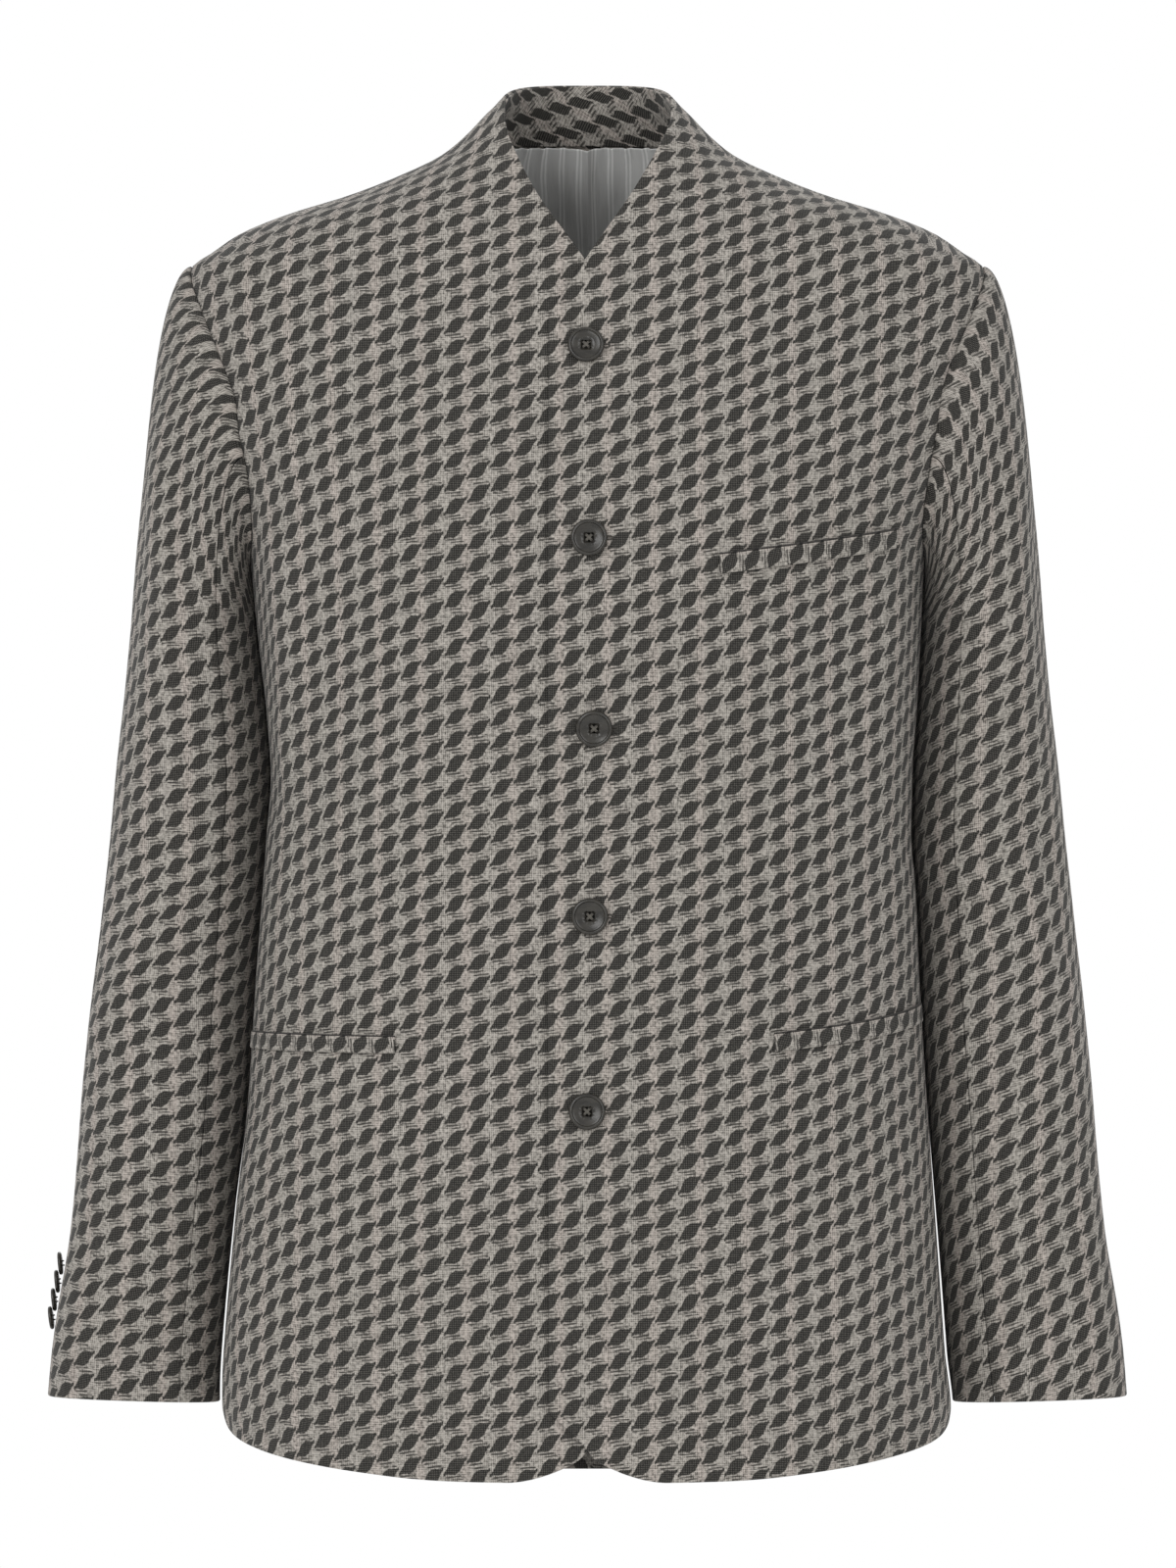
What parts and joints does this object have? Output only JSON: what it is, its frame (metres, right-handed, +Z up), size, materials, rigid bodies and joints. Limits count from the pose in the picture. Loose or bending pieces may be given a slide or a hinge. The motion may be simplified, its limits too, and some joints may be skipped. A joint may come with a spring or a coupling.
{
  "type": "blazer",
  "caption": "Collarless button-front wool blazer with a standing neckline, welt pockets and set-in sleeves, filled out as worn.",
  "frame": {"origin": "middle of the neck's base, where the garment hangs on its wearer", "axes": "+Z up, front faces -Y, +X to the wearer's left"},
  "size_m": [0.5951, 0.2685, 0.7721],
  "materials": {
    "wool": "matt woven wool with a small two-tone lozenge pattern",
    "lining": "satin with fine pale stripes",
    "button": "polished dark horn"
  },
  "bodies": {
    "root": {"front_left": "wool", "front_right": "wool", "back_left": "wool", "back_right": "wool", "collar_stand": "wool", "collar_facing": "wool", "back_lining": "lining", "sleeve_left_top": "wool", "sleeve_left_under": "wool", "sleeve_right_top": "wool", "sleeve_right_under": "wool", "chest_welt": "wool", "pocket_welt_left": "wool", "pocket_welt_right": "wool", "front_button_1": "button", "front_button_2": "button", "front_button_3": "button", "front_button_4": "button", "front_button_5": "button", "cuff_button_left_1": "button", "cuff_button_left_2": "button", "cuff_button_left_3": "button", "cuff_button_left_4": "button", "cuff_button_right_1": "button", "cuff_button_right_2": "button", "cuff_button_right_3": "button", "cuff_button_right_4": "button"}
  },
  "joints": []
}
